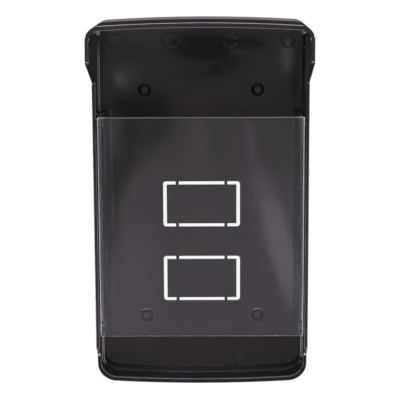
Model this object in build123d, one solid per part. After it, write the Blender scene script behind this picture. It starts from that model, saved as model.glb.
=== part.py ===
from build123d import *
import math
import os

# Whole housing. The back face is the plane y = 0, the front faces -Y, z = 0 is mid-height
WIDTH = 112.0
HEIGHT = 195.8
ARCH_RADIUS = 800.0
TOP_CORNER_RADIUS = 7.6
BOTTOM_CORNER_RADIUS = 10.4
PLATE_THICKNESS = 2.2
SIDE_WALL = 2.0
END_WALL = 2.6
FLOOR_FILLET = 1.0
RIM_OUTER_FILLET = 0.5
RIM_INNER_FILLET = 0.5

# Side profile of the front rim, measured forward from the back face
HOOD_DEPTH = 62.5
WALL_DEPTH = 25.0
LIP_TOP_DEPTH = 17.8
LIP_DEPTH = 14.0
HOOD_EDGE_Z = 78.05
HOOD_FOOT_Z = 65.2
HOOD_FOOT_DEPTH = 24.0
WALL_TOP_Z = 64.1
WALL_BOTTOM_Z = -76.45
HOOD_EDGE_RADIUS = 2.0
HOOD_FOOT_RADIUS = 0.8
WALL_TOP_RADIUS = 0.7
WALL_BOTTOM_RADIUS = 1.6
LIP_TOP_RADIUS = 6.4

# Corners of the rim's side profile that are rounded: y, z and radius
PROFILE_ROUNDINGS = (
    (-HOOD_DEPTH, HOOD_EDGE_Z, HOOD_EDGE_RADIUS),
    (-HOOD_FOOT_DEPTH, HOOD_FOOT_Z, HOOD_FOOT_RADIUS),
    (-WALL_DEPTH, WALL_TOP_Z, WALL_TOP_RADIUS),
    (-WALL_DEPTH, WALL_BOTTOM_Z, WALL_BOTTOM_RADIUS),
    (-LIP_TOP_DEPTH, WALL_BOTTOM_Z, LIP_TOP_RADIUS),
)

# Clear flap
FLAP_HALF_WIDTH = 53.45
FLAP_FLANGE = 2.1
FLAP_FACE = 2.0
FLAP_TOP_Z = 47.3
FLAP_BOTTOM_Z = -68.8
FLAP_BACK_Y = -2.5
FLAP_OUTER_FILLET = 0.6
FLAP_INNER_FILLET = 0.5
FLAP_END_FILLET = 0.3

# Pivot of the flap
PIVOT_Y = -12.5
PIVOT_Z = 43.4
PIN_RADIUS = 2.5
PIN_HOLE_RADIUS = 2.6
PIN_END_GAP = 0.3
PIN_END_CHAMFER = 0.5
LEAD_IN_WIDTH = 6.0
LEAD_IN_DEPTH = 0.9

# Detent near the lower end of each flange
DETENT_Y = -20.5
DETENT_Z = -64.3
DETENT_POCKET_RADIUS = 2.9
DETENT_POCKET_DEPTH = 1.5
DETENT_BUMP_RADIUS = 2.0
DETENT_BUMP_HEIGHT = 0.3
DETENT_BUMP_FILLET = 0.25

# Rails on the floor just inside the flap flanges
RAIL_INNER_X = 47.4
RAIL_OUTER_X = 49.9
RAIL_TOP_Z = 49.35
RAIL_BOTTOM_Z = -59.85
RAIL_HEIGHT = 1.5
RAIL_EDGE_FILLET = 0.3

# Small edge breaks of the back plate's openings and blanks
OPENING_CHAMFER = 0.25
BLANK_CHAMFER = 0.25

# Cable knock-outs
KNOCKOUT_CENTRES_Z = (-1.95, -42.65)
KNOCKOUT_NAMES = ("upper", "lower")
KNOCKOUT_HALF_WIDTH = 20.55
KNOCKOUT_HALF_HEIGHT = 12.4
KNOCKOUT_CORNER_RADIUS = 1.6
SIDE_SLOT = 1.9
END_SLOT = 1.95
BRIDGE_X = 13.0
BRIDGE_WIDTH = 1.6

# Screw knock-outs
SCREW_X = 30.0
SCREW_ROWS_Z = (59.35, -62.95)
SCREW_ROW_NAMES = ("upper", "lower")
SCREW_SIDE_NAMES = ("left", "right")
SCREW_RADIUS = 3.2
SCREW_BOSS_RADIUS = 1.95
SCREW_WEB = 0.4
SCREW_DIMPLE_RADIUS = 0.7
SCREW_DIMPLE_DEPTH = 0.4

# Ejector pin marks on the floor
MARK_RADIUS = 4.0
MARK_DEPTH = 0.12
MARK_ROWS = (
    (85.55, (15.9, 46.0)),
    (15.05, (12.0,)),
    (-21.65, (12.0,)),
    (-88.75, (16.0, 46.4)),
)

# How far a cutting shape reaches past what it cuts, and an added one into what it joins
CUT_MARGIN = 1.0
EMBED = 0.5
TOLERANCE = 0.01
RIM_MATCH = 0.1

SIDES = (-1, 1)


def nearest_vertex(sketch, across, along):
    """The corner of a sketch that is closest to a point in its own plane."""
    return sketch.vertices().sort_by_distance(Vector(across, along, 0))[0]


def outline(side_inset, end_inset, top_radius, bottom_radius):
    """Front outline of the housing, drawn on the back plane."""
    half = WIDTH / 2 - side_inset
    top = HEIGHT / 2 - end_inset
    sag = ARCH_RADIUS - math.sqrt(ARCH_RADIUS**2 - half**2)
    with BuildSketch(Plane.XZ) as sketch:
        with BuildLine():
            ThreePointArc((-half, top - sag), (0, top), (half, top - sag))
            Line((half, top - sag), (half, sag - top))
            ThreePointArc((half, sag - top), (0, -top), (-half, sag - top))
            Line((-half, sag - top), (-half, top - sag))
        make_face()
        fillet(sketch.vertices().sort_by(Axis.Y)[:2], bottom_radius)
        fillet(sketch.vertices().sort_by(Axis.Y)[-2:], top_radius)
    return sketch.sketch


def front_trim():
    """Everything in front of the stepped rim, as one block to cut away."""
    front = -HOOD_DEPTH - CUT_MARGIN
    with BuildSketch(Plane.YZ) as sketch:
        with BuildLine():
            Polyline(
                (front, HEIGHT),
                (-HOOD_DEPTH, HEIGHT),
                (-HOOD_DEPTH, HOOD_EDGE_Z),
                (-HOOD_FOOT_DEPTH, HOOD_FOOT_Z),
                (-HOOD_FOOT_DEPTH, WALL_TOP_Z),
                (-WALL_DEPTH, WALL_TOP_Z),
                (-WALL_DEPTH, WALL_BOTTOM_Z),
                (-LIP_TOP_DEPTH, WALL_BOTTOM_Z),
                (-LIP_DEPTH, -HEIGHT / 2),
                (-LIP_DEPTH, -HEIGHT),
                (front, -HEIGHT),
                close=True,
            )
        make_face()
        for y, z, radius in PROFILE_ROUNDINGS:
            fillet(nearest_vertex(sketch, y, z), radius)
    return extrude(sketch.sketch, amount=WIDTH, both=True)


def is_rim_edge(edge):
    """True for an edge that runs along the front rim of the walls."""
    size = edge.bounding_box().size
    along_depth = size.X < TOLERANCE and size.Z < TOLERANCE
    flat = size.Y < TOLERANCE and size.Z < TOLERANCE
    across_wall = flat and size.X < SIDE_WALL + TOLERANCE
    in_front = edge.center().Y < -PLATE_THICKNESS - FLOOR_FILLET - CUT_MARGIN
    along_wall = not along_depth and not across_wall
    return in_front and along_wall


def is_outer_edge(edge):
    """True for a rim edge on the outside of the walls."""
    point = edge @ 0.5
    middle = SIDE_WALL / 2
    beside = abs(point.X) > WIDTH / 2 - middle
    reach = HEIGHT / 2 - END_WALL / 2
    sag = point.X**2 / (2 * ARCH_RADIUS)
    beyond = abs(point.Z) > reach - sag
    radius = TOP_CORNER_RADIUS if point.Z > 0 else BOTTOM_CORNER_RADIUS
    corner_x = WIDTH / 2 - radius
    corner_z = HEIGHT / 2 - radius - corner_x**2 / (2 * ARCH_RADIUS)
    dx = abs(point.X) - corner_x
    dz = abs(point.Z) - corner_z
    round_corner = dx > 0 and dz > 0 and math.hypot(dx, dz) > radius - middle
    return beside or beyond or round_corner


def floor_edges(body):
    """Edges that lie in the front face of the back plate."""
    floor = -PLATE_THICKNESS
    return body.edges().filter_by_position(Axis.Y, floor - TOLERANCE, floor + TOLERANCE)


def shell():
    """Back plate with the hood, side walls and bottom lip, edges rounded."""
    outer = extrude(outline(0, 0, TOP_CORNER_RADIUS, BOTTOM_CORNER_RADIUS), HOOD_DEPTH)
    inner_sketch = outline(
        SIDE_WALL, END_WALL, TOP_CORNER_RADIUS - SIDE_WALL, BOTTOM_CORNER_RADIUS - SIDE_WALL
    )
    inner = Pos(0, -PLATE_THICKNESS, 0) * extrude(inner_sketch, HOOD_DEPTH)
    body = outer - inner
    body = fillet(floor_edges(body), FLOOR_FILLET)
    body = body - front_trim()
    rim = body.edges().filter_by(is_rim_edge)
    body = fillet(rim.filter_by(is_outer_edge), RIM_OUTER_FILLET)
    rim = body.edges().filter_by(is_rim_edge)
    inner_rim = rim.filter_by(is_inner_rim_edge)
    return fillet(inner_rim, RIM_INNER_FILLET)


def is_inner_rim_edge(edge):
    """True for an edge of the rim's flat face on the inside of the walls."""
    point = edge @ 0.5
    on_side = abs(abs(point.X) - (WIDTH / 2 - SIDE_WALL)) < RIM_MATCH
    half = abs(point.X)
    top = HEIGHT / 2 - END_WALL
    on_end = abs(abs(point.Z) - (top - half**2 / (2 * ARCH_RADIUS))) < RIM_MATCH
    radius = (TOP_CORNER_RADIUS if point.Z > 0 else BOTTOM_CORNER_RADIUS) - SIDE_WALL
    corner_x = WIDTH / 2 - SIDE_WALL - radius
    corner_z = top - radius - corner_x**2 / (2 * ARCH_RADIUS)
    dx = abs(point.X) - corner_x
    dz = abs(point.Z) - corner_z
    on_corner = dx > 0 and dz > 0 and abs(math.hypot(dx, dz) - radius) < 2 * RIM_MATCH
    return on_side or on_end or on_corner


def knockout_opening(centre_z):
    """The whole opening that one cable knock-out leaves in the back plate."""
    with BuildSketch(Plane.XZ) as sketch:
        with Locations((0, centre_z)):
            RectangleRounded(
                2 * KNOCKOUT_HALF_WIDTH, 2 * KNOCKOUT_HALF_HEIGHT, KNOCKOUT_CORNER_RADIUS
            )
    return extrude(sketch.sketch, PLATE_THICKNESS)


def cable_knockout(centre_z):
    """Rectangular panel and the four thin bridges that hold it in the plate."""
    half_width = KNOCKOUT_HALF_WIDTH - SIDE_SLOT
    half_height = KNOCKOUT_HALF_HEIGHT - END_SLOT
    centre = Pos(0, -PLATE_THICKNESS / 2, centre_z)
    panel = centre * Box(2 * half_width, PLATE_THICKNESS, 2 * half_height)
    for side in SIDES:
        bridge = Box(BRIDGE_WIDTH, PLATE_THICKNESS, 2 * KNOCKOUT_HALF_HEIGHT)
        panel += centre * Pos(side * BRIDGE_X, 0, 0) * bridge
    front_edges = panel.edges().group_by(Axis.Y)[0]
    panel_edges = front_edges.filter_by(lambda edge: edge.length > 2 * END_SLOT)
    return chamfer(panel_edges, BLANK_CHAMFER)


def cylinder_y(radius, length, x, front_y, z):
    """Cylinder along Y that starts at front_y and runs back by length."""
    return Pos(x, front_y + length / 2, z) * Rot(90, 0, 0) * Cylinder(radius, length)


def cylinder_x(radius, length, x, y, z):
    """Cylinder along X, centred on x."""
    return Pos(x, y, z) * Rot(0, 90, 0) * Cylinder(radius, length)


def screw_knockout(x, z):
    """Round blank: a thin web at the back and a boss in the middle."""
    web = cylinder_y(SCREW_RADIUS, SCREW_WEB, x, -SCREW_WEB, z)
    boss = cylinder_y(SCREW_BOSS_RADIUS, PLATE_THICKNESS, x, -PLATE_THICKNESS, z)
    boss = chamfer(boss.edges().group_by(Axis.Y)[0], BLANK_CHAMFER)
    dimple = cylinder_y(SCREW_DIMPLE_RADIUS, SCREW_DIMPLE_DEPTH, x, -PLATE_THICKNESS, z)
    return web + boss - dimple


def rail(side):
    """Low rail on the floor beside one flange of the flap."""
    width = RAIL_OUTER_X - RAIL_INNER_X
    length = RAIL_TOP_Z - RAIL_BOTTOM_Z
    bar = Box(width, RAIL_HEIGHT, length)
    front_edges = bar.edges().group_by(Axis.Y)[0]
    bar = fillet(front_edges, RAIL_EDGE_FILLET)
    x = side * (RAIL_OUTER_X + RAIL_INNER_X) / 2
    z = (RAIL_TOP_Z + RAIL_BOTTOM_Z) / 2
    return Pos(x, -PLATE_THICKNESS - RAIL_HEIGHT / 2, z) * bar


def lead_in(side):
    """Ramp in the wall that lets a pivot pin slide in from the front."""
    inner = WIDTH / 2 - SIDE_WALL
    with BuildSketch(Plane.XY.offset(PIVOT_Z - LEAD_IN_WIDTH / 2)) as sketch:
        with BuildLine():
            Polyline(
                (side * (inner - CUT_MARGIN), -WALL_DEPTH - CUT_MARGIN),
                (side * (inner + LEAD_IN_DEPTH), -WALL_DEPTH - CUT_MARGIN),
                (side * inner, PIVOT_Y - PIN_HOLE_RADIUS),
                (side * (inner - CUT_MARGIN), PIVOT_Y - PIN_HOLE_RADIUS),
                close=True,
            )
        make_face()
    return extrude(sketch.sketch, LEAD_IN_WIDTH)


def detent_bump(side):
    """Low round bump on the wall that faces the pocket of the flap."""
    inner = WIDTH / 2 - SIDE_WALL
    depth = DETENT_BUMP_HEIGHT + EMBED
    x = side * (inner - DETENT_BUMP_HEIGHT + depth / 2)
    bump = cylinder_x(DETENT_BUMP_RADIUS, depth, x, DETENT_Y, DETENT_Z)
    tip = bump.faces().sort_by(Axis.X)[0 if side > 0 else -1]
    return fillet(tip.edges(), DETENT_BUMP_FILLET)


def pin_marks():
    """Shallow round ejector marks in the floor."""
    marks = []
    for z, row in MARK_ROWS:
        for x in row:
            for side in SIDES:
                marks.append(cylinder_y(MARK_RADIUS, MARK_DEPTH, side * x, -PLATE_THICKNESS, z))
    return marks


def is_opening_edge(edge):
    """True for an edge of a cable or screw opening in the back plate."""
    point = edge @ 0.5
    cable = abs(point.X) < KNOCKOUT_HALF_WIDTH + TOLERANCE and any(
        abs(point.Z - centre_z) < KNOCKOUT_HALF_HEIGHT + TOLERANCE for centre_z in KNOCKOUT_CENTRES_Z
    )
    screw = any(
        math.hypot(abs(point.X) - SCREW_X, point.Z - z) < SCREW_RADIUS + TOLERANCE
        for z in SCREW_ROWS_Z
    )
    return cable or screw


def housing():
    """The black moulding without its break-out pieces."""
    body = shell()
    for side in SIDES:
        body += rail(side)
        body += detent_bump(side)
        body -= lead_in(side)
        wall_x = side * (WIDTH - SIDE_WALL) / 2
        body -= cylinder_x(PIN_HOLE_RADIUS, 3 * SIDE_WALL, wall_x, PIVOT_Y, PIVOT_Z)
        for z in SCREW_ROWS_Z:
            body -= cylinder_y(SCREW_RADIUS, PLATE_THICKNESS, side * SCREW_X, -PLATE_THICKNESS, z)
    for centre_z in KNOCKOUT_CENTRES_Z:
        body -= knockout_opening(centre_z)
    body = chamfer(floor_edges(body).filter_by(is_opening_edge), OPENING_CHAMFER)
    for mark in pin_marks():
        body -= mark
    return body


def flap_section():
    """U-shaped section of the flap: the clear face and its two flanges."""
    half = FLAP_HALF_WIDTH
    inner = half - FLAP_FLANGE
    front = -WALL_DEPTH
    with BuildSketch(Plane.XY.offset(FLAP_BOTTOM_Z)) as sketch:
        with BuildLine():
            Polyline(
                (-half, FLAP_BACK_Y),
                (-half, front),
                (half, front),
                (half, FLAP_BACK_Y),
                (inner, FLAP_BACK_Y),
                (inner, front + FLAP_FACE),
                (-inner, front + FLAP_FACE),
                (-inner, FLAP_BACK_Y),
                close=True,
            )
        make_face()
        for side in SIDES:
            for y in (front, FLAP_BACK_Y):
                fillet(nearest_vertex(sketch, side * half, y), FLAP_OUTER_FILLET)
            corner = nearest_vertex(sketch, side * inner, front + FLAP_FACE)
            fillet(corner, FLAP_INNER_FILLET)
    return sketch.sketch


def flange_heel(side):
    """What has to go from the upper back corner of a flange so it can swing."""
    reach = FLAP_BACK_Y - PIVOT_Y
    size = FLAP_TOP_Z - PIVOT_Z
    x = side * (FLAP_HALF_WIDTH - FLAP_FLANGE / 2)
    wide = FLAP_FLANGE + CUT_MARGIN
    block = Pos(x, PIVOT_Y + reach, PIVOT_Z + (size + CUT_MARGIN) / 2) * Box(
        wide, size, size + CUT_MARGIN
    )
    return block - cylinder_x(reach, wide + CUT_MARGIN, x, PIVOT_Y, PIVOT_Z)


def pivot_pin(side):
    """Pin on the outside of one flange, chamfered so that it snaps in."""
    outer = WIDTH / 2 - PIN_END_GAP
    length = outer - FLAP_HALF_WIDTH + EMBED
    x = side * (outer - length / 2)
    pin = cylinder_x(PIN_RADIUS, length, x, PIVOT_Y, PIVOT_Z)
    tip = pin.faces().sort_by(Axis.X)[-1 if side > 0 else 0]
    return chamfer(tip.edges(), PIN_END_CHAMFER)


def clear_flap():
    """The clear flap in its closed position."""
    flap = extrude(flap_section(), FLAP_TOP_Z - FLAP_BOTTOM_Z)
    front_ends = flap.edges().filter_by(Axis.X).group_by(Axis.Y)[0]
    flap = fillet(front_ends, FLAP_END_FILLET)
    for side in SIDES:
        flap -= flange_heel(side)
        flap += pivot_pin(side)
        length = DETENT_POCKET_DEPTH + CUT_MARGIN
        pocket_x = side * (FLAP_HALF_WIDTH - DETENT_POCKET_DEPTH + length / 2)
        flap -= cylinder_x(DETENT_POCKET_RADIUS, length, pocket_x, DETENT_Y, DETENT_Z)
    return flap


def save(node, solid):
    """Write one named piece."""
    solid.label = node
    export_step(solid, f"parts/{node}.step")


os.makedirs("parts", exist_ok=True)
save("housing", housing())
save("clear_flap", clear_flap())
for name, centre_z in zip(KNOCKOUT_NAMES, KNOCKOUT_CENTRES_Z):
    save(f"{name}_cable_knockout", cable_knockout(centre_z))
for row_name, z in zip(SCREW_ROW_NAMES, SCREW_ROWS_Z):
    for side_name, side in zip(SCREW_SIDE_NAMES, SIDES):
        save(f"{row_name}_{side_name}_screw_knockout", screw_knockout(side * SCREW_X, z))
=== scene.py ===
import math

import bpy
from mathutils import Matrix, Vector


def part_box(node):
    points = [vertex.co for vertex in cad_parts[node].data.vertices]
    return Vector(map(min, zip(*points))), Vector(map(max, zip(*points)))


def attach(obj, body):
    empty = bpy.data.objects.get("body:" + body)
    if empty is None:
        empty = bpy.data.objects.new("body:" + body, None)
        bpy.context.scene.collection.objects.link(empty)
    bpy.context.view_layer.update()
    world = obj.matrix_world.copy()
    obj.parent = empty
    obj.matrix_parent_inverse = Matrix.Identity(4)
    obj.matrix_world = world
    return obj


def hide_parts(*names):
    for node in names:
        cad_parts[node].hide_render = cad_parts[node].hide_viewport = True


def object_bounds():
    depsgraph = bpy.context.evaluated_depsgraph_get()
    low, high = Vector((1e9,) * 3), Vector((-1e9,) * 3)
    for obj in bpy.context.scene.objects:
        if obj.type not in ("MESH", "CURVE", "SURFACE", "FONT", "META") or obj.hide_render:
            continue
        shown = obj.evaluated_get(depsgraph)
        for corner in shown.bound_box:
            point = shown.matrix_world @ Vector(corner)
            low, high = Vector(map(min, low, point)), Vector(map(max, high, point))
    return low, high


bl_info = {
    "name": "Keypad rain cover",
    "version": (1, 0, 0),
    "blender": (4, 5, 0),
    "location": "3D View > Sidebar > Rain cover",
    "description": "Finishes the moulded housing and the clear flap of a keypad rain cover",
    "category": "Object",
}

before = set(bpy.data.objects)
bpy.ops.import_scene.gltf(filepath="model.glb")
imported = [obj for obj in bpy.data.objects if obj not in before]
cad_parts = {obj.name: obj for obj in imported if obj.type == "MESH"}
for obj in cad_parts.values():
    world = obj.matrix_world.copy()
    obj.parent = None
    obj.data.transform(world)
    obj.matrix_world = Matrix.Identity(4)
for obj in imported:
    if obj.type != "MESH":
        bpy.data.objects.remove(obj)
cad_box = [list(corner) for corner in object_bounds()]

MM = 0.001

# Rows of round ejector marks on the floor of the housing: height z, and distances to each side
# of the middle, in millimetres
MARK_ROWS = (
    (85.55, (15.9, 46.0)),
    (15.05, (12.0,)),
    (-21.65, (12.0,)),
    (-88.75, (16.0, 46.4)),
)
MARK_CENTRES = tuple((x, z) for z, row in MARK_ROWS for x in row)
FLOOR_Y = -2.2
SIDES = (-1, 1)

# Ring-grooved screw blanks: centres on the right, x and z, and the turned profile of the web
# and its rim, radius and height
SCREW_CENTRES = ((30.0, 59.35), (30.0, -62.95))
SCREW_PROFILE = ((0.0, 0.25), (1.9, 0.25), (3.15, 0.0), (3.65, 0.16), (4.4, 0.16))

# Turned profile of an ejector mark: radius and height of a faint dome with a sunk edge
MARK_PROFILE = (
    (0.0, 0.048), (2.0, 0.047), (3.6, 0.041), (3.9, 0.0), (4.15, 0.040), (4.6, 0.042),
)

# Zones of the housing: how far a face is turned along an axis, and where it lies in metres.
# A mask runs from 0 at the first number to 1 at the second
WALL_FACING = (-0.7, -0.95)
WALL_X = (0.050, 0.052)
FOOT_FACING = (-0.8, -0.95)
FOOT_Z = (-0.0905, -0.0925)
FOOT_Y = (-0.0050, -0.0030)
LIP_FACING = (0.6, 0.9)
LIP_Z = (-0.0880, -0.0900)
LIP_EDGE_FACING = (0.15, 0.45)
LIP_EDGE_Y = (-0.0131, -0.0136)
LIP_EDGE_Z = (-0.0885, -0.0905)
ROOF_FACING = (0.7, 0.9)
ROOF_Z = (0.088, 0.090)
ROOF_REAR_Y = (-0.0272, -0.0262)

# The moulded rings are on everything in front of the back face, in the same form
RING_FRONT_Y = (-0.0001, -0.0002)

CABLE_BLANKS = ("upper_cable_knockout", "lower_cable_knockout")
SCREW_BLANKS = (
    "upper_left_screw_knockout",
    "upper_right_screw_knockout",
    "lower_left_screw_knockout",
    "lower_right_screw_knockout",
)


# User settings

class RainCoverPlastic(bpy.types.PropertyGroup):
    colour: bpy.props.FloatVectorProperty(
        name="Colour", description="Colour of the black moulded plastic",
        subtype="COLOR", size=3, min=0, max=1, default=(0.0165, 0.0125, 0.0155),
    )
    roughness: bpy.props.FloatProperty(
        name="Roughness", description="Roughness of the clean moulded face",
        subtype="FACTOR", min=0, max=1, default=0.03,
    )
    wave_size: bpy.props.FloatProperty(
        name="Wave size",
        description="Length of the slow waves that shrinkage leaves in the flat faces",
        subtype="DISTANCE", unit="LENGTH", min=0.001, default=0.045,
    )
    wave_height: bpy.props.FloatProperty(
        name="Wave height", description="Height of the slow waves in the flat faces",
        subtype="DISTANCE", unit="LENGTH", min=0, default=0.00003,
    )
    dust: bpy.props.FloatProperty(
        name="Dust", description="How much fine dust lies on the plastic",
        subtype="FACTOR", min=0, max=1, default=0.35,
    )
    # Share of the pale highlight that is painted along the sharp edges
    edge_light: bpy.props.FloatProperty(
        name="Edge highlight", description="How much pale highlight is painted along the sharp edges",
        subtype="FACTOR", min=0, max=1, default=0.35,
    )


class RainCoverFlap(bpy.types.PropertyGroup):
    colour: bpy.props.FloatVectorProperty(
        name="Colour", description="Tint of the clear plastic",
        subtype="COLOR", size=3, min=0, max=1, default=(0.97, 0.975, 0.98),
    )
    roughness: bpy.props.FloatProperty(
        name="Roughness", description="Roughness of the polished clear face",
        subtype="FACTOR", min=0, max=1, default=0.015,
    )
    # The pale edge colour is a painted glow of the light that comes out through the cut edges
    edge_colour: bpy.props.FloatVectorProperty(
        name="Edge colour", description="Colour of the pale edges of the clear plastic",
        subtype="COLOR", size=3, min=0, max=1, default=(0.55, 0.55, 0.58),
    )
    scratches: bpy.props.FloatProperty(
        name="Scratches", description="Strength of the hairline scratches",
        subtype="FACTOR", min=0, max=1, default=0.4,
    )


class RainCoverMarks(bpy.types.PropertyGroup):
    radius: bpy.props.FloatProperty(
        name="Radius", description="Radius of a round ejector mark",
        subtype="DISTANCE", unit="LENGTH", min=0.0005, default=0.004,
    )
    wire: bpy.props.FloatProperty(
        name="Witness line", description="Half width of the raised line round a mark",
        subtype="DISTANCE", unit="LENGTH", min=0.00001, default=0.00009,
    )
    sweep: bpy.props.FloatProperty(
        name="Sweep", description="Angle of the circle along which the line stands out",
        subtype="ANGLE", unit="ROTATION", min=0.1, max=math.tau, default=math.tau,
    )


class RainCoverStudio(bpy.types.PropertyGroup):
    lens: bpy.props.FloatProperty(
        name="Lens", description="Focal length on a 36 mm sensor", subtype="DISTANCE_CAMERA",
        min=1, default=129.62,
    )
    aim: bpy.props.FloatVectorProperty(
        name="Aim", description="Point at the centre of the picture", subtype="XYZ",
        unit="LENGTH", size=3, default=(-0.000857, 0.0, -0.000115),
    )
    distance: bpy.props.FloatProperty(
        name="Distance", description="Distance from the camera to the aim point",
        subtype="DISTANCE", unit="LENGTH", min=0.05, default=0.773494,
    )
    tilt: bpy.props.FloatProperty(
        name="Tilt", description="How far the camera looks down", subtype="ANGLE",
        unit="ROTATION", default=math.radians(10.0235),
    )
    azimuth: bpy.props.FloatProperty(
        name="Azimuth", description="How far the camera looks to the right", subtype="ANGLE",
        unit="ROTATION", default=math.radians(-0.5318),
    )
    roll: bpy.props.FloatProperty(
        name="Roll", description="How far the camera is turned about its own axis",
        subtype="ANGLE", unit="ROTATION", default=math.radians(-0.277),
    )
    floor_drop: bpy.props.FloatProperty(
        name="Floor drop", description="Distance from the cover's lower edge to the floor",
        subtype="DISTANCE", unit="LENGTH", min=0, default=0.5,
    )
    floor_size: bpy.props.FloatProperty(
        name="Floor size", description="Half the width of the floor",
        subtype="DISTANCE", unit="LENGTH", min=0.1, default=1.3,
    )
    lamp_radiance: bpy.props.FloatProperty(
        name="Lamp brightness",
        description="Brightness of a soft lamp's face, where white paper is 1",
        min=0, default=22.0,
    )
    fill: bpy.props.FloatProperty(
        name="Fill", description="Brightness of the even light from all round",
        min=0, default=0.6,
    )


# Node helpers

class Net:
    """A node tree under construction: adds nodes and joins sockets in one call."""

    def __init__(self, tree):
        self.tree = tree
        self.nodes = tree.nodes
        self.column = 0

    def add(self, kind, inputs=None, **settings):
        node = self.nodes.new(kind)
        self.column += 1
        node.location = (180 * (self.column % 12), -220 * (self.column // 12))
        for name, value in settings.items():
            setattr(node, name, value)
        for key, value in (inputs or {}).items():
            self.feed(node.inputs[key], value)
        return node

    def feed(self, socket, value):
        if isinstance(value, bpy.types.NodeSocket):
            self.tree.links.new(value, socket)
        else:
            socket.default_value = value

    def math(self, operation, a, b=0.0, c=0.0, clamp=False):
        node = self.add("ShaderNodeMath", {0: a, 1: b, 2: c}, operation=operation, use_clamp=clamp)
        return node.outputs[0]

    def vector(self, operation, a, b=(0.0, 0.0, 0.0), c=(0.0, 0.0, 0.0)):
        node = self.add("ShaderNodeVectorMath", {0: a, 1: b, 2: c}, operation=operation)
        return node.outputs[0]

    def map(self, value, low, high, to_low=0.0, to_high=1.0, smooth=False):
        kind = "SMOOTHSTEP" if smooth else "LINEAR"
        node = self.add(
            "ShaderNodeMapRange",
            {"Value": value, "From Min": low, "From Max": high,
             "To Min": to_low, "To Max": to_high},
            interpolation_type=kind,
        )
        return node.outputs["Result"]

    def noise(self, vector, scale, detail=2.0, rough=0.5, distort=0.0):
        node = self.add(
            "ShaderNodeTexNoise",
            {"Vector": vector, "Scale": scale, "Detail": detail,
             "Roughness": rough, "Distortion": distort},
        )
        return node.outputs["Fac"]

    def grey_ramp(self, value, stops):
        """A value that follows stops of place and level, both from 0 to 1."""
        node = self.add("ShaderNodeValToRGB", {"Fac": value})
        ramp = node.color_ramp
        while len(ramp.elements) < len(stops):
            ramp.elements.new(0.5)
        for element, (place, level) in zip(ramp.elements, stops):
            element.position = place
            element.color = (level, level, level, 1.0)
        return self.add("ShaderNodeSeparateColor", {0: node.outputs["Color"]}).outputs[0]

    def mix_value(self, factor, a, b):
        return self.add("ShaderNodeMix", {0: factor, 2: a, 3: b}).outputs[0]

    def mix_colour(self, factor, a, b):
        node = self.add("ShaderNodeMix", {0: factor, 6: a, 7: b}, data_type="RGBA")
        return node.outputs[2]


def value_group(name, inputs, outputs):
    """An empty shader node group with named number or vector sockets."""
    tree = bpy.data.node_groups.new(name, "ShaderNodeTree")
    for label, kind, default in inputs:
        socket = tree.interface.new_socket(label, in_out="INPUT", socket_type=kind)
        if default is not None:
            socket.default_value = default
    for label, kind in outputs:
        tree.interface.new_socket(label, in_out="OUTPUT", socket_type=kind)
    net = Net(tree)
    return net, net.add("NodeGroupInput"), net.add("NodeGroupOutput")


NUMBER = "NodeSocketFloat"
VECTOR = "NodeSocketVector"


# Fine peel of the moulded face: spots per metre, and height in metres
PEEL_SCALE = 900.0
PEEL_HEIGHT = 0.0000001

# Duller patches: spots per metre, noise levels, and the roughness they add
PATCH_SCALE = 55.0
PATCH_LEVELS = (0.35, 0.75)
PATCH_ROUGHNESS = (0.0, 0.02)


def surface_group():
    """Height and roughness of a polished mould face: slow sink waves and a fine peel."""
    net, given, result = value_group(
        "Moulded face",
        (("Vector", VECTOR, None), ("Wave Size", NUMBER, 0.04), ("Wave Height", NUMBER, 0.0001)),
        (("Height", NUMBER), ("Roughness", NUMBER)),
    )
    place = given.outputs["Vector"]
    frequency = net.math("DIVIDE", 1.0, given.outputs["Wave Size"])
    slow = net.noise(place, frequency, 1.0, 0.35, 0.3)
    peel = net.noise(place, PEEL_SCALE, 1.0, 0.4)
    slow_height = net.math("MULTIPLY", slow, given.outputs["Wave Height"])
    height = net.math("MULTIPLY_ADD", peel, PEEL_HEIGHT, slow_height)
    patches = net.noise(place, PATCH_SCALE, 4.0, 0.6, 0.4)
    net.feed(result.inputs["Height"], height)
    net.feed(result.inputs["Roughness"], net.map(patches, *PATCH_LEVELS, *PATCH_ROUGHNESS))
    return net.tree


# Two sets of hairlines: turn in radians, spots per metre along each axis, and the noise level
# at which a line starts
HAIRLINES = (
    (0.45, (1500.0, 1500.0, 28.0), 0.70),
    (-0.9, (1200.0, 1200.0, 20.0), 0.72),
)
HAIRLINE_SOFTNESS = 0.06

# Loose patches that hold the hairlines: spots per metre and noise levels
SCUFFED_SCALE = 38.0
SCUFFED_LEVELS = (0.5, 0.68)


def scratch_group():
    """Mask of hairline scratches in two crossing directions, in loose patches."""
    net, given, result = value_group(
        "Hairline scratches", (("Vector", VECTOR, None),), (("Mask", NUMBER),)
    )
    place = given.outputs["Vector"]
    lines = []
    for turn, stretch, cut in HAIRLINES:
        turned = net.add(
            "ShaderNodeVectorRotate",
            {"Vector": place, "Axis": (0.0, 1.0, 0.0), "Angle": turn},
            rotation_type="AXIS_ANGLE",
        ).outputs[0]
        thin = net.noise(net.vector("MULTIPLY", turned, stretch), 1.0, 0.0, 0.5)
        lines.append(net.map(thin, cut, cut + HAIRLINE_SOFTNESS))
    both = net.math("MAXIMUM", lines[0], lines[1])
    patch = net.map(net.noise(place, SCUFFED_SCALE, 2.0), *SCUFFED_LEVELS)
    net.feed(result.inputs["Mask"], net.math("MULTIPLY", both, patch))
    return net.tree


# Dust specks: cells per metre, edge of a speck in cells, and the noise that picks them
SPECK_SCALE = 420.0
SPECK_EDGE = (0.10, 0.04)
SPECK_PICK_SCALE = 260.0
SPECK_PICK_LEVELS = (0.60, 0.66)

# Dust film: spots per metre, noise levels, and its share of full dust
DUST_FILM_SCALE = 70.0
DUST_FILM_LEVELS = (0.45, 0.8)
DUST_FILM_SHARE = (0.0, 0.12)


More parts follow.
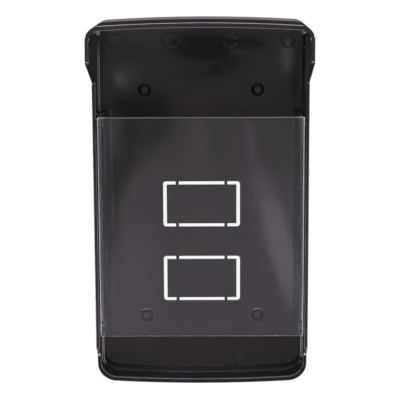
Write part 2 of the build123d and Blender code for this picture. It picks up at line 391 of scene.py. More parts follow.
def dust_group():
    """Mask of fine dust: single specks and a thin film in patches."""
    net, given, result = value_group(
        "Fine dust", (("Vector", VECTOR, None), ("Amount", NUMBER, 0.3)), (("Mask", NUMBER),)
    )
    place = given.outputs["Vector"]
    cells = net.add(
        "ShaderNodeTexVoronoi", {"Vector": place, "Scale": SPECK_SCALE, "Randomness": 1.0}
    )
    speck = net.map(cells.outputs["Distance"], *SPECK_EDGE)
    pick = net.map(net.noise(place, SPECK_PICK_SCALE, 0.0), *SPECK_PICK_LEVELS)
    patches = net.noise(place, DUST_FILM_SCALE, 3.0, 0.65)
    dust_film_and_painted_sheen = net.map(patches, *DUST_FILM_LEVELS, *DUST_FILM_SHARE)
    specks = net.math("MULTIPLY", speck, pick)
    total = net.math("ADD", specks, dust_film_and_painted_sheen, clamp=True)
    net.feed(result.inputs["Mask"], net.math("MULTIPLY", total, given.outputs["Amount"]))
    return net.tree


# Cosine between the rounded and the true normal: off an edge, and on it
EDGE_MATCH = (0.99, 0.80)


def edge_group():
    """Mask of the sharp edges: where a rounded normal leaves the true one."""
    net, given, result = value_group(
        "Painted edge highlights", (("Width", NUMBER, 0.0004),), (("Mask", NUMBER),)
    )
    rounded = net.add("ShaderNodeBevel", {"Radius": given.outputs["Width"]}, samples=6)
    true = net.add("ShaderNodeNewGeometry").outputs["Normal"]
    match = net.add(
        "ShaderNodeVectorMath", {0: rounded.outputs[0], 1: true}, operation="DOT_PRODUCT",
    )
    net.feed(result.inputs["Mask"], net.map(match.outputs["Value"], *EDGE_MATCH))
    return net.tree


def ring_height(net, place, centres, profile):
    """Height of a turned profile round each centre, the same on both sides of the middle.

    centres are in millimetres; profile holds pairs of radius and height in millimetres.
    """
    outer = profile[-1][0]
    parts = net.add("ShaderNodeSeparateXYZ", {0: place}).outputs
    across = net.math("ABSOLUTE", parts[0])
    flat = net.add("ShaderNodeCombineXYZ", {0: across, 1: 0.0, 2: parts[2]}).outputs[0]
    nearest = None
    for x, z in centres:
        centre = (x * MM, 0.0, z * MM)
        reach = net.add("ShaderNodeVectorMath", {0: flat, 1: centre}, operation="DISTANCE")
        away = reach.outputs["Value"]
        nearest = away if nearest is None else net.math("MINIMUM", nearest, away)
    low = min(height for _radius, height in profile)
    high = max(height for _radius, height in profile)
    stops = [(radius / outer, (height - low) / (high - low)) for radius, height in profile]
    level = net.grey_ramp(net.math("DIVIDE", nearest, outer * MM), stops)
    return net.math("MULTIPLY", level, (high - low) * MM)


def rings_group():
    """Height of the coned webs round the screw blanks and of the shallow ejector marks."""
    net, given, result = value_group(
        "Moulded rings", (("Vector", VECTOR, None),), (("Height", NUMBER),)
    )
    place = given.outputs["Vector"]
    screws = ring_height(net, place, SCREW_CENTRES, SCREW_PROFILE)
    marks = ring_height(net, place, MARK_CENTRES, MARK_PROFILE)
    front = net.map(net.add("ShaderNodeSeparateXYZ", {0: place}).outputs[1], *RING_FRONT_Y)
    net.feed(result.inputs["Height"], net.math("MULTIPLY", net.math("ADD", screws, marks), front))
    return net.tree


def zone_group():
    """Masks of three zones of the housing.

    Inner Wall covers the inner faces of the side walls, the foot of the floor and the lip, which
    take a painted sheen.
    Roof Band is the rear band of the roof. Lip Edge is the inner edge of the lip's rim, which
    takes a painted highlight.
    """
    net, given, result = value_group(
        "Housing zones", (("Vector", VECTOR, None),),
        (("Inner Wall", NUMBER), ("Roof Band", NUMBER), ("Lip Edge", NUMBER)),
    )
    x, y, z = net.add("ShaderNodeSeparateXYZ", {0: given.outputs["Vector"]}).outputs
    normal = net.add("ShaderNodeNewGeometry").outputs["Normal"]
    facing_x, facing_y, facing_z = net.add("ShaderNodeSeparateXYZ", {0: normal}).outputs
    inward = net.math("MULTIPLY", net.math("SIGN", x), facing_x)
    beside = net.map(net.math("ABSOLUTE", x), *WALL_X)
    wall = net.math("MULTIPLY", net.map(inward, *WALL_FACING), beside)
    foot = net.math("MULTIPLY", net.map(facing_y, *FOOT_FACING), net.map(z, *FOOT_Z))
    foot = net.math("MULTIPLY", foot, net.map(y, *FOOT_Y))
    lip = net.math("MULTIPLY", net.map(facing_z, *LIP_FACING), net.map(z, *LIP_Z))
    dust_film_and_painted_sheen = net.math("MAXIMUM", wall, net.math("MAXIMUM", foot, lip))
    net.feed(result.inputs["Inner Wall"], dust_film_and_painted_sheen)
    roof = net.math("MULTIPLY", net.map(facing_z, *ROOF_FACING), net.map(z, *ROOF_Z))
    net.feed(result.inputs["Roof Band"], net.math("MULTIPLY", roof, net.map(y, *ROOF_REAR_Y)))
    rim = net.math("MULTIPLY", net.map(facing_z, *LIP_EDGE_FACING), net.map(y, *LIP_EDGE_Y))
    net.feed(result.inputs["Lip Edge"], net.math("MULTIPLY", rim, net.map(z, *LIP_EDGE_Z)))
    return net.tree


def use_group(net, tree, inputs=None):
    """A node that places a shader node group, with its inputs filled."""
    node = net.add("ShaderNodeGroup", node_tree=tree)
    for key, value in (inputs or {}).items():
        net.feed(node.inputs[key], value)
    return node


def new_material(name):
    """A node material with only its output, and the helper that fills it."""
    material = bpy.data.materials.new(name)
    material.use_nodes = True
    material.node_tree.nodes.clear()
    net = Net(material.node_tree)
    output = net.add("ShaderNodeOutputMaterial")
    return material, net, output


def shared_group(name, build):
    """The node group of this name, built when it is first asked for."""
    return bpy.data.node_groups.get(name) or build()


# Colours of the painted sheen on the inside of the walls, of the painted highlights on the edges
# and of dust
INNER_WALL_PAINTED_SHEEN = (0.034, 0.031, 0.039, 1.0)
PAINTED_EDGE_HIGHLIGHT = (0.16, 0.15, 0.16, 1.0)
DUST_COLOUR = (0.20, 0.19, 0.18, 1.0)

# Width of a painted edge highlight and height of a hairline in metres, below zero as it is sunk,
# and the roughness that hairlines and dust add
EDGE_HIGHLIGHT_WIDTH = 0.00035
HAIRLINE_HEIGHT = -0.0000012
HAIRLINE_ROUGHNESS = 0.12
DUST_ROUGHNESS = 0.25

# How far the rear band of the roof leans forward
ROOF_LEAN = -0.15


def black_plastic(name, settings, wave_scale=1.0):
    """Glossy black moulded plastic with sink waves, hairlines and dust, a painted sheen and
    painted edge highlights.
    """
    material, net, output = new_material(name)
    place = net.add("ShaderNodeTexCoord").outputs["Object"]
    zones = use_group(net, shared_group("Housing zones", zone_group), {"Vector": place})
    rings = use_group(net, shared_group("Moulded rings", rings_group), {"Vector": place})
    face = use_group(
        net, shared_group("Moulded face", surface_group),
        {"Vector": place, "Wave Size": settings.wave_size,
         "Wave Height": settings.wave_height * wave_scale},
    )
    lines = use_group(net, shared_group("Hairline scratches", scratch_group), {"Vector": place})
    dust = use_group(
        net, shared_group("Fine dust", dust_group), {"Vector": place, "Amount": settings.dust}
    )
    edge = use_group(
        net, shared_group("Painted edge highlights", edge_group), {"Width": EDGE_HIGHLIGHT_WIDTH}
    )
    clean = (*settings.colour, 1.0)
    # Painted highlight: the sharp edges and the inner edge of the lip's rim are made paler, in
    # place of light caught on them
    edge_highlight = net.math("MULTIPLY", edge.outputs["Mask"], settings.edge_light)
    edge_highlight = net.math("MAXIMUM", edge_highlight, zones.outputs["Lip Edge"])
    # Painted sheen: the inner faces of the side walls, the foot of the floor and the lip are made
    # paler, in place of reflected light
    sheen_painted = net.mix_colour(zones.outputs["Inner Wall"], clean, INNER_WALL_PAINTED_SHEEN)
    edge_highlighted = net.mix_colour(edge_highlight, sheen_painted, PAINTED_EDGE_HIGHLIGHT)
    dusted = net.mix_colour(dust.outputs["Mask"], edge_highlighted, DUST_COLOUR)
    rough = net.math("ADD", face.outputs["Roughness"], settings.roughness)
    rough = net.math("MULTIPLY_ADD", lines.outputs["Mask"], HAIRLINE_ROUGHNESS, rough)
    rough = net.math("MULTIPLY_ADD", dust.outputs["Mask"], DUST_ROUGHNESS, rough, clamp=True)
    height = face.outputs["Height"]
    height = net.math("MULTIPLY_ADD", lines.outputs["Mask"], HAIRLINE_HEIGHT, height)
    height = net.math("ADD", height, rings.outputs["Height"])
    bump = net.add("ShaderNodeBump", {"Strength": 1.0, "Distance": 1.0, "Height": height})
    forward = net.math("MULTIPLY", zones.outputs["Roof Band"], ROOF_LEAN)
    lean = net.add("ShaderNodeCombineXYZ", {1: forward})
    normal = net.vector("NORMALIZE", net.vector("ADD", bump.outputs[0], lean.outputs[0]))
    shader = net.add(
        "ShaderNodeBsdfPrincipled",
        {"Base Color": dusted, "Roughness": rough, "IOR": 1.5, "Normal": normal},
    )
    net.feed(output.inputs["Surface"], shader.outputs[0])
    return material


# Slow waves of the clear plastic in metres, and the roughness of its patches and hairlines
CLEAR_WAVES = {"Wave Size": 0.06, "Wave Height": 0.00006}
CLEAR_PATCH_SHARE = 0.25
CLEAR_HAIRLINE_ROUGHNESS = 0.25


def clear_plastic(name, settings):
    """Polished clear plastic with slow waves and fine hairlines."""
    material, net, output = new_material(name)
    place = net.add("ShaderNodeTexCoord").outputs["Object"]
    face = use_group(
        net, shared_group("Moulded face", surface_group),
        {"Vector": place, **CLEAR_WAVES},
    )
    lines = use_group(net, shared_group("Hairline scratches", scratch_group), {"Vector": place})
    scratch = net.math("MULTIPLY", lines.outputs["Mask"], settings.scratches)
    patches = face.outputs["Roughness"]
    rough = net.math("MULTIPLY_ADD", patches, CLEAR_PATCH_SHARE, settings.roughness)
    rough = net.math("MULTIPLY_ADD", scratch, CLEAR_HAIRLINE_ROUGHNESS, rough, clamp=True)
    height = face.outputs["Height"]
    bump = net.add("ShaderNodeBump", {"Strength": 1.0, "Distance": 1.0, "Height": height})
    shader = net.add(
        "ShaderNodeBsdfPrincipled",
        {
            "Base Color": (*settings.colour, 1.0),
            "Roughness": rough,
            "IOR": 1.49,
            "Transmission Weight": 1.0,
            "Normal": bump.outputs[0],
        },
    )
    net.feed(output.inputs["Surface"], shader.outputs[0])
    return material


# Zones of the flap's upper end face in metres: the flange tops, the end face and its front part
FLAP_CAP_X = (0.0494, 0.0500)
FLAP_TOP_Z = (0.0462, 0.0466)
FLAP_FRONT_Y = (-0.0205, -0.0225)

# Painted highlight and shade: how much paler the front part and the flange tops are, and how much
# darker the rest of the end face is
FRONT_PAINTED_HIGHLIGHT = 0.45
CAP_PAINTED_HIGHLIGHT = 1.2
TOP_PAINTED_SHADE = -0.6

# Streaks along the edges: spots per metre, stretch, noise levels, and the tone they give
STREAK_SCALE = 160.0
STREAK_STRETCH = (1.0, 1.0, 0.12)
STREAK_LEVELS = (0.3, 0.7)
STREAK_TONES = (0.8, 1.15)

# Grain of the edges: spots per metre, height in metres, noise levels, and roughness
GRAIN_SCALE = 700.0
GRAIN_HEIGHT = 0.00004
GRAIN_LEVELS = (0.3, 0.7)
GRAIN_ROUGHNESS = (0.22, 0.42)


def frosted_edge_painted_glow(name, settings):
    """Cut and rounded edges of the clear plastic: frosted, with a pale colour painted in as the
    glow of the light that comes out through them.
    """
    material, net, output = new_material(name)
    place = net.add("ShaderNodeTexCoord").outputs["Object"]
    grain = net.noise(place, GRAIN_SCALE, 2.0, 0.6)
    streaks = net.noise(net.vector("MULTIPLY", place, STREAK_STRETCH), STREAK_SCALE, 2.0)
    x, y, z = net.add("ShaderNodeSeparateXYZ", {0: place}).outputs
    cap = net.map(net.math("ABSOLUTE", x), *FLAP_CAP_X)
    top = net.map(z, *FLAP_TOP_Z)
    lit = net.math("MULTIPLY", top, net.map(y, *FLAP_FRONT_Y))
    tone = net.map(streaks, *STREAK_LEVELS, *STREAK_TONES)
    # Painted highlight on the front part of the end face and on the flange tops, and painted shade
    # on the rest of the end face
    tone = net.math("MULTIPLY_ADD", lit, FRONT_PAINTED_HIGHLIGHT, tone)
    tone = net.math("MULTIPLY_ADD", net.math("MULTIPLY", cap, lit), CAP_PAINTED_HIGHLIGHT, tone)
    dim = net.math("MULTIPLY_ADD", net.math("SUBTRACT", top, lit), TOP_PAINTED_SHADE, 1.0)
    tone = net.math("MULTIPLY", tone, dim)
    colour = net.add(
        "ShaderNodeVectorMath", {0: tuple(settings.edge_colour), "Scale": tone},
        operation="SCALE",
    ).outputs[0]
    bump = net.add(
        "ShaderNodeBump", {"Strength": 0.4, "Distance": GRAIN_HEIGHT, "Height": grain}
    )
    shader = net.add(
        "ShaderNodeBsdfPrincipled",
        {
            "Base Color": colour,
            "Roughness": net.map(grain, *GRAIN_LEVELS, *GRAIN_ROUGHNESS),
            "IOR": 1.49,
            "Transmission Weight": 0.2,
            "Normal": bump.outputs[0],
        },
    )
    net.feed(output.inputs["Surface"], shader.outputs[0])
    return material


# How far an edge face of the flap is turned along its axis
END_FACING = 0.5
CORNER_FACING = (0.2, 0.98)
BACK_FACING = 0.3


def is_edge_face(centre, normal, low, high):
    """True for the end faces, rounded corners and back edges of the clear flap."""
    at_end = centre.z > high[2] - MM or centre.z < low[2] + MM
    end = abs(normal.z) > END_FACING and at_end
    corner = CORNER_FACING[0] < abs(normal.x) < CORNER_FACING[1] and centre.y < low[1] + MM
    back = normal.y > BACK_FACING and centre.y > high[1] - MM
    return end or corner or back


def finished_flap(clear, edge):
    """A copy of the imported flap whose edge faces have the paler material."""
    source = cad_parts["clear_flap"]
    mesh = source.data.copy()
    mesh.name = "finished_flap"
    mesh.materials.clear()
    mesh.materials.append(clear)
    mesh.materials.append(edge)
    low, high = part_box("clear_flap")
    for face in mesh.polygons:
        face.material_index = int(is_edge_face(face.center, face.normal, low, high))
    obj = bpy.data.objects.new("finished_flap", mesh)
    bpy.context.scene.collection.objects.link(obj)
    return obj


def dress(node, material):
    """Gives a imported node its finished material."""
    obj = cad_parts[node]
    obj.data.materials.clear()
    obj.data.materials.append(material)


# Ejector marks

# Straight steps round a ring, and round the section of its line
RING_SEGMENTS = 72
LINE_SEGMENTS = 8


def mark_points():
    """Centres of all ejector marks, in metres, on the floor of the housing."""
    return [(side * x * MM, FLOOR_Y * MM, z * MM) for x, z in MARK_CENTRES for side in SIDES]


def mark_tree(material):
    """Geometry nodes that lay one thin raised ring round each point."""
    tree = bpy.data.node_groups.new("Ejector mark rings", "GeometryNodeTree")
    tree.interface.new_socket("Geometry", in_out="INPUT", socket_type="NodeSocketGeometry")
    for label, default in (("Mark Radius", 0.004), ("Line Radius", 0.0001), ("Sweep", math.tau)):
        socket = tree.interface.new_socket(label, in_out="INPUT", socket_type=NUMBER)
        socket.default_value = default
    tree.interface.new_socket("Geometry", in_out="OUTPUT", socket_type="NodeSocketGeometry")
    net = Net(tree)
    given = net.add("NodeGroupInput")
    result = net.add("NodeGroupOutput")
    arc = net.add(
        "GeometryNodeCurveArc",
        {"Resolution": RING_SEGMENTS, "Radius": given.outputs["Mark Radius"],
         "Start Angle": 0.0, "Sweep Angle": given.outputs["Sweep"]},
    )
    section = net.add(
        "GeometryNodeCurvePrimitiveCircle",
        {"Resolution": LINE_SEGMENTS, "Radius": given.outputs["Line Radius"]},
    )
    ring = net.add(
        "GeometryNodeCurveToMesh",
        {"Curve": arc.outputs["Curve"], "Profile Curve": section.outputs["Curve"],
         "Fill Caps": True},
    )
    smooth = net.add("GeometryNodeSetShadeSmooth", {"Geometry": ring.outputs["Mesh"]})
    placed = net.add(
        "GeometryNodeInstanceOnPoints",
        {"Points": given.outputs["Geometry"], "Instance": smooth.outputs["Geometry"],
         "Rotation": (math.pi / 2, 0.0, 0.0)},
    )
    real = net.add("GeometryNodeRealizeInstances", {"Geometry": placed.outputs["Instances"]})
    finished = net.add(
        "GeometryNodeSetMaterial",
        {"Geometry": real.outputs["Geometry"], "Material": material},
    )
    net.feed(result.inputs[0], finished.outputs["Geometry"])
    return tree


def set_input(modifier, label, value):
    """Sets a geometry nodes input by the identifier of the socket with this label."""
    for item in modifier.node_group.interface.items_tree:
        if item.item_type == "SOCKET" and item.in_out == "INPUT" and item.name == label:
            modifier[item.identifier] = value
            return
    raise RuntimeError(f"no input named {label}")


def frozen(source, name, material):
    """The evaluated object as a plain mesh object of its own; the source is removed."""
    bpy.context.view_layer.update()
    seen = source.evaluated_get(bpy.context.evaluated_depsgraph_get())
    mesh = bpy.data.meshes.new_from_object(seen)
    mesh.name = name
    mesh.materials.clear()
    mesh.materials.append(material)
    obj = bpy.data.objects.new(name, mesh)
    bpy.context.scene.collection.objects.link(obj)
    bpy.data.objects.remove(source)
    return obj


# Stage

def camera_matrix(studio):
    """Where the camera stands and how it is turned."""
    azimuth, tilt, roll = studio.azimuth, studio.tilt, studio.roll
    ahead = Vector((
        math.sin(azimuth) * math.cos(tilt), math.cos(azimuth) * math.cos(tilt), -math.sin(tilt)
    ))
    level = ahead.cross(Vector((0, 0, 1))).normalized()
    up = level.cross(ahead)
    right = level * math.cos(roll) + up * math.sin(roll)
    top = up * math.cos(roll) - level * math.sin(roll)
    place = Vector(studio.aim) - ahead * studio.distance
    turn = Matrix((right, top, -ahead)).transposed()
    return Matrix.Translation(place) @ turn.to_4x4()


def add_camera(studio):
    """The camera that the settings describe, made the scene's own."""
    data = bpy.data.cameras.new("product_camera")
    data.sensor_width = 36
    data.lens = studio.lens
    data.clip_start = 0.01
    data.clip_end = 50
    obj = bpy.data.objects.new("product_camera", data)
    bpy.context.scene.collection.objects.link(obj)
    obj.matrix_world = camera_matrix(studio)
    bpy.context.scene.camera = obj


# Soft lamps: name, place, width and height of the face, and share of the lamp brightness
LAMPS = (
    ("overhead_lamp", (0.0, -0.45, 1.1), 0.5, 0.25, 0.5),
    ("left_lamp", (-1.1, -0.6, 0.25), 0.16, 0.5, 0.4),
    ("right_lamp", (1.1, -0.6, 0.25), 0.16, 0.5, 0.4),
)
LAMP_AIM = (0.0, -0.02, 0.0)


def add_lamp(name, place, width, height, radiance):
    """A soft rectangular lamp whose face has this brightness."""
    data = bpy.data.lights.new(name, "AREA")
    data.shape = "RECTANGLE"
    data.size = width
    data.size_y = height
    data.energy = radiance * width * height * math.pi
    obj = bpy.data.objects.new(name, data)
    bpy.context.scene.collection.objects.link(obj)
    place = Vector(place)
    turn = (Vector(LAMP_AIM) - place).to_track_quat("-Z", "Y").to_matrix().to_4x4()
    obj.matrix_world = Matrix.Translation(place) @ turn
    obj.visible_camera = False
    obj.visible_transmission = False


# Unevenness of the paper floor: spots per metre, noise levels and tones
PAPER_SCALE = 3.0
PAPER_LEVELS = (0.3, 0.7)
PAPER_TONES = (0.84, 0.88)


def pale_floor_material():
    """Matt off-white paper with a faint unevenness."""
    material, net, output = new_material("pale_floor")
    place = net.add("ShaderNodeTexCoord").outputs["Object"]
    tone = net.map(net.noise(place, PAPER_SCALE, 3.0), *PAPER_LEVELS, *PAPER_TONES)
    shade = net.add("ShaderNodeCombineColor", {0: tone, 1: tone, 2: tone}).outputs[0]
    shader = net.add("ShaderNodeBsdfPrincipled", {"Base Color": shade, "Roughness": 0.7})
    net.feed(output.inputs["Surface"], shader.outputs[0])
    return material


def add_floor(studio):
    """Plain pale floor well below the cover, which hangs as it would on a wall.

    The gloss mirrors the floor of the surroundings instead.
    """
    level = cad_box[0][2] - studio.floor_drop
    half = studio.floor_size
    mesh = bpy.data.meshes.new("studio_floor")
    corners = [
        (-half, -half, level), (half, -half, level), (half, half, level), (-half, half, level),
    ]
    mesh.from_pydata(corners, [], [(0, 1, 2, 3)])
    mesh.materials.append(pale_floor_material())
    obj = bpy.data.objects.new("studio_floor", mesh)
    bpy.context.scene.collection.objects.link(obj)
    obj.visible_glossy = False


# Brightness of the dim room in front, from low to high: tangent of the height, level
ROOM_LEVELS = (
    (-0.318, 0.25), (-0.303, 0.28), (-0.3005, 0.42), (-0.2825, 0.40),
    (-0.271, 0.45), (-0.180, 0.45), (-0.1625, 0.41), (-0.148, 0.36),
    (-0.1235, 0.34), (-0.113, 0.30), (-0.099, 0.40), (-0.053, 0.45),
)

# Soft shapes in the dim room: sideways, height, half width, half height, turn in degrees,
# softness of the outline, and the brightness added or the share taken away
ROOM_SHAPES = (
    (-0.0610, -0.2432, 0.0235, 0.0454, 0.0, 1.0, 0.12),
    (0.0470, -0.2080, 0.0092, 0.0450, 14.0, 0.9, 0.46),
    (0.0273, -0.1448, 0.0034, 0.0283, 8.0, 0.9, 0.11),
    (-0.0105, -0.1412, 0.0069, 0.0297, 0.0, 0.6, 0.06),
    (-0.0450, -0.1230, 0.0190, 0.0155, 0.0, 0.7, -0.34),
    (-0.0510, -0.1400, 0.0095, 0.0270, -36.0, 0.5, -0.24),
    (-0.0716, -0.1810, 0.0060, 0.0420, 0.0, 0.8, -0.30),
    (-0.0630, -0.1480, 0.0075, 0.0310, -10.0, 0.5, -0.36),
    (-0.0487, -0.1108, 0.0214, 0.0080, 0.0, 0.25, -0.68),
    (-0.0368, -0.1031, 0.0062, 0.0056, 0.0, 0.3, -0.55),
    (-0.0040, -0.0695, 0.0230, 0.0105, 0.0, 0.35, -0.80),
    (0.0210, -0.0673, 0.0166, 0.0041, -2.0, 0.4, -0.95),
    (-0.0240, -0.0657, 0.0110, 0.0062, 0.0, 0.7, -0.45),
    (0.0092, -0.0824, 0.0152, 0.0042, 22.0, 0.5, -0.75),
    (-0.0090, -0.0885, 0.0140, 0.0042, 4.0, 0.5, -0.50),
    (0.0584, -0.0799, 0.0034, 0.0291, 0.0, 0.2, -0.70),
    (0.0515, -0.0757, 0.0036, 0.0120, 0.0, 0.8, 0.75),
    (0.0168, -0.0728, 0.0048, 0.0021, -8.0, 0.6, 0.45),
    (-0.0645, -0.0919, 0.0048, 0.0070, 15.0, 0.8, 0.40),
    (-0.0652, -0.0898, 0.0018, 0.0028, 0.0, 0.7, 1.30),
    (-0.0500, -0.0590, 0.0270, 0.0060, 0.0, 1.0, 0.20),
    (-0.0590, -0.0870, 0.0110, 0.0080, 0.0, 1.0, 0.22),
)

# Raggedness of the outlines as a tangent, and its spots per tangent of 1
ROOM_WOBBLE = 0.006
WOBBLE_SCALE = 60.0

# How far a soft outline reaches inwards and outwards, as shares of the oval
SOFT_INWARDS = 0.6
SOFT_OUTWARDS = 0.5

# The darkest level, and the window in degrees within which the room in front is mirrored
ROOM_DARKEST = 0.02
ROOM_ACROSS = (-16.0, 16.0)
ROOM_UPRIGHT = (-26.0, 8.0)
ROOM_SOFTNESS = 6.0


def soft_shape(net, place, centre, halves, turn, soft):
    """Mask of a turned oval with a soft outline."""
    offset = net.vector("SUBTRACT", place, (*centre, 0.0))
    turned = net.add(
        "ShaderNodeVectorRotate", {"Vector": offset, "Angle": -math.radians(turn)},
        rotation_type="Z_AXIS",
    ).outputs[0]
    scaled = net.vector("MULTIPLY", turned, (1.0 / halves[0], 1.0 / halves[1], 0.0))
    reach = net.add("ShaderNodeVectorMath", {0: scaled}, operation="LENGTH").outputs["Value"]
    inner = 1.0 - SOFT_INWARDS * soft
    outer = 1.0 + SOFT_OUTWARDS * soft
    return net.map(reach, inner, outer, 1.0, 0.0, smooth=True)


def room_in_front(net, sideways, height):
    """Brightness of the dim room that the flat faces mirror, in front of the cover.

    sideways and height are the tangents of the angles from straight ahead.
    """
    low, high = ROOM_LEVELS[0][0], ROOM_LEVELS[-1][0]
    stops = [((tangent - low) / (high - low), level) for tangent, level in ROOM_LEVELS]
    level = net.grey_ramp(net.map(height, low, high), stops)
    place = net.add("ShaderNodeCombineXYZ", {0: sideways, 1: height, 2: 0.0}).outputs[0]
    ragged = net.add(
        "ShaderNodeTexNoise", {"Vector": place, "Scale": WOBBLE_SCALE, "Detail": 2.0}
    )
    wobble = (ROOM_WOBBLE, ROOM_WOBBLE, 0.0)
    middle = (-0.5 * ROOM_WOBBLE, -0.5 * ROOM_WOBBLE, 0.0)
    shift = net.vector("MULTIPLY_ADD", ragged.outputs["Color"], wobble, middle)
    place = net.vector("ADD", place, shift)
    for x, z, half_width, half_height, turn, soft, strength in ROOM_SHAPES:
        mask = soft_shape(net, place, (x, z), (half_width, half_height), turn, soft)
        if strength > 0:
            level = net.math("MULTIPLY_ADD", mask, strength, level)
        else:
            level = net.math("MULTIPLY", level, net.math("MULTIPLY_ADD", mask, strength, 1.0))
    return net.math("MAXIMUM", level, ROOM_DARKEST)


def soft_box(net, azimuth, elevation, across, upright, soft=4.0):
    """Mask of a soft lamp face, given by ranges in degrees from straight ahead and level."""
    masks = []
    for value, (low, high) in ((azimuth, across), (elevation, upright)):
        masks.append(net.map(value, low - soft, low + soft, smooth=True))
        masks.append(net.map(value, high - soft, high + soft, 1.0, 0.0, smooth=True))
    sides = net.math("MULTIPLY", masks[0], masks[1])
    ends = net.math("MULTIPLY", masks[2], masks[3])
    return net.math("MULTIPLY", sides, ends)


# Lamp faces that only the gloss shows: range across, range upright in degrees, brightness
LAMP_FACES = (
    ((-38.0, 38.0), (12.0, 48.0), 0.15),
    ((-190.0, -110.0), (12.0, 60.0), 0.42),
    ((110.0, 190.0), (12.0, 60.0), 0.42),
    ((-190.0, 190.0), (71.0, 81.0), 22.0),
    ((-30.0, 30.0), (-62.0, -41.0), 9.0),
    ((-76.0, -57.0), (-30.0, -9.0), 13.0),
    ((57.0, 76.0), (-30.0, -9.0), 14.0),
    ((57.0, 76.0), (-9.0, 12.0), 7.0),
    ((-120.0, -104.0), (-30.0, 16.0), 26.0),
    ((104.0, 120.0), (-30.0, 16.0), 26.0),
)

# Pale floor below, as the gloss mirrors it: brightness, and elevations where it starts and ends
FLOOR_LIGHT = 0.6
FLOOR_EDGE = (-50.0, -32.0)

# Dim sky: elevations where it rises, and its two levels
SKY_EDGE = (8.0, 30.0)
SKY_LEVELS = (0.03, 0.16)

# Colour cast of the mirrored surroundings
MIRROR_TINT = (1.04, 0.95, 1.07, 1.0)


def surroundings(net, azimuth, elevation):
    """Brightness of everything that the gloss mirrors, apart from the dim room in front."""
    floor_part = net.map(elevation, *FLOOR_EDGE, 1.0, 0.0, smooth=True)
    sky = net.map(elevation, *SKY_EDGE, *SKY_LEVELS, smooth=True)
    level = net.mix_value(floor_part, sky, FLOOR_LIGHT)
    for across, upright, bright in LAMP_FACES:
        face = soft_box(net, azimuth, elevation, across, upright)
        level = net.math("MULTIPLY_ADD", face, bright, level)
    return level


def studio_world(studio):
    """White backdrop for the camera, a room for the reflections and an even fill."""
    world = bpy.data.worlds.new("studio")
    bpy.context.scene.world = world
    world.use_nodes = True
    world.node_tree.nodes.clear()
    net = Net(world.node_tree)
    output = net.add("ShaderNodeOutputWorld")
    direction = net.add("ShaderNodeTexCoord").outputs["Generated"]
    parts = net.add("ShaderNodeSeparateXYZ", {0: direction}).outputs
    forward = net.math("MULTIPLY", parts[1], -1.0)
    ahead = net.math("MAXIMUM", forward, 0.001)
    sideways = net.math("DIVIDE", parts[0], ahead)
    height = net.math("DIVIDE", parts[2], ahead)
    azimuth = net.math("DEGREES", net.math("ARCTAN2", parts[0], forward))
    elevation = net.math("DEGREES", net.math("ARCSINE", parts[2]))
    front = room_in_front(net, sideways, height)
    window = soft_box(net, azimuth, elevation, ROOM_ACROSS, ROOM_UPRIGHT, ROOM_SOFTNESS)
    around = surroundings(net, azimuth, elevation)
    room = net.mix_value(window, around, front)
    path = net.add("ShaderNodeLightPath").outputs
    mirrored = net.math("MINIMUM", path["Glossy Depth"], 1.0)
    seen = net.mix_value(mirrored, 1.0, room)
    straight = net.math("MAXIMUM", path["Is Camera Ray"], path["Is Glossy Ray"])
    straight = net.math("MAXIMUM", straight, path["Is Transmission Ray"])
    strength = net.mix_value(straight, studio.fill, seen)
    tint = net.mix_colour(mirrored, (1.0, 1.0, 1.0, 1.0), MIRROR_TINT)
    shader = net.add("ShaderNodeBackground", {"Color": tint, "Strength": strength})
    net.feed(output.inputs["Surface"], shader.outputs[0])


# Operators

class RAINCOVER_OT_housing(bpy.types.Operator):
    """Finish the black housing"""
    bl_idname = "raincover.housing"
    bl_label = "Finish housing"

    def execute(self, context):
        dress("housing", black_plastic("black_plastic_housing", context.scene.rain_cover_plastic))
        return {"FINISHED"}


class RAINCOVER_OT_blanks(bpy.types.Operator):
    """Finish the break-out blanks for the cables and the screws"""
    bl_idname = "raincover.blanks"
    bl_label = "Finish blanks"

    def execute(self, context):
        material = black_plastic("black_plastic_blanks", context.scene.rain_cover_plastic)
        for node in CABLE_BLANKS + SCREW_BLANKS:
            dress(node, material)
        return {"FINISHED"}


class RAINCOVER_OT_flap(bpy.types.Operator):
    """Finish the clear flap"""
    bl_idname = "raincover.flap"
    bl_label = "Finish flap"

    def execute(self, context):
        settings = context.scene.rain_cover_flap
        clear = clear_plastic("clear_plastic_flap", settings)
        flap = finished_flap(clear, frosted_edge_painted_glow("clear_plastic_edges", settings))
        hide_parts("clear_flap")
        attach(flap, "flap")
        return {"FINISHED"}


class RAINCOVER_OT_marks(bpy.types.Operator):
    """Lay the thin witness rings round the ejector marks"""
    bl_idname = "raincover.marks"
    bl_label = "Add ejector mark rings"

    def execute(self, context):
        settings = context.scene.rain_cover_marks
        material = black_plastic("black_plastic_marks", context.scene.rain_cover_plastic, 0.0)
        mesh = bpy.data.meshes.new("mark_points")
        mesh.from_pydata(mark_points(), [], [])
        source = bpy.data.objects.new("mark_points", mesh)
        context.scene.collection.objects.link(source)
        modifier = source.modifiers.new("rings", "NODES")
        modifier.node_group = mark_tree(material)
        set_input(modifier, "Mark Radius", settings.radius)
        set_input(modifier, "Line Radius", settings.wire)
        set_input(modifier, "Sweep", settings.sweep)
        rings = frozen(source, "ejector_mark_rings", material)
        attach(rings, "cover")
        return {"FINISHED"}


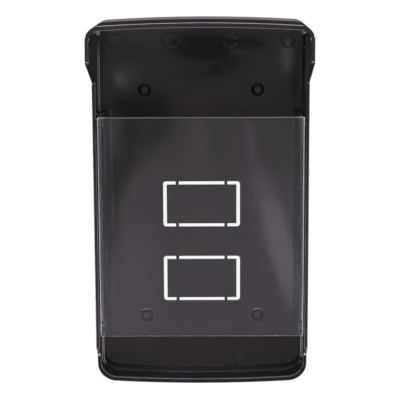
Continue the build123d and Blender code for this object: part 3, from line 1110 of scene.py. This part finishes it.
class RAINCOVER_OT_stage(bpy.types.Operator):
    """Set up the camera, the floor, the lamps and the surroundings"""
    bl_idname = "raincover.stage"
    bl_label = "Set up stage"

    def execute(self, context):
        studio = context.scene.rain_cover_studio
        add_camera(studio)
        add_floor(studio)
        studio_world(studio)
        for name, place, width, height, share in LAMPS:
            add_lamp(name, place, width, height, studio.lamp_radiance * share)
        context.scene.view_settings.view_transform = "Standard"
        return {"FINISHED"}


class RAINCOVER_PT_panel(bpy.types.Panel):
    """The steps and sizes of the rain cover"""
    bl_idname = "RAINCOVER_PT_panel"
    bl_label = "Rain cover"
    bl_space_type = "VIEW_3D"
    bl_region_type = "UI"
    bl_category = "Rain cover"

    def draw(self, context):
        layout = self.layout
        for group_name, operator in PANEL_ROWS:
            group = getattr(context.scene, group_name)
            box = layout.box()
            for name in group.bl_rna.properties.keys():
                if name not in ("rna_type", "name"):
                    box.prop(group, name)
            box.operator(operator)


PANEL_ROWS = (
    ("rain_cover_plastic", "raincover.housing"),
    ("rain_cover_plastic", "raincover.blanks"),
    ("rain_cover_flap", "raincover.flap"),
    ("rain_cover_marks", "raincover.marks"),
    ("rain_cover_studio", "raincover.stage"),
)

SETTINGS = (
    ("rain_cover_plastic", RainCoverPlastic),
    ("rain_cover_flap", RainCoverFlap),
    ("rain_cover_marks", RainCoverMarks),
    ("rain_cover_studio", RainCoverStudio),
)

CLASSES = (
    RainCoverPlastic,
    RainCoverFlap,
    RainCoverMarks,
    RainCoverStudio,
    RAINCOVER_OT_housing,
    RAINCOVER_OT_blanks,
    RAINCOVER_OT_flap,
    RAINCOVER_OT_marks,
    RAINCOVER_OT_stage,
    RAINCOVER_PT_panel,
)


def register():
    for entry in CLASSES:
        bpy.utils.register_class(entry)
    for name, group in SETTINGS:
        setattr(bpy.types.Scene, name, bpy.props.PointerProperty(type=group))


def unregister():
    for name, _group in SETTINGS:
        delattr(bpy.types.Scene, name)
    for entry in reversed(CLASSES):
        bpy.utils.unregister_class(entry)


def main():
    register()
    bpy.ops.raincover.stage()
    bpy.ops.raincover.housing()
    bpy.ops.raincover.blanks()
    bpy.ops.raincover.flap()
    bpy.ops.raincover.marks()


if __name__ == "__main__":
    main()
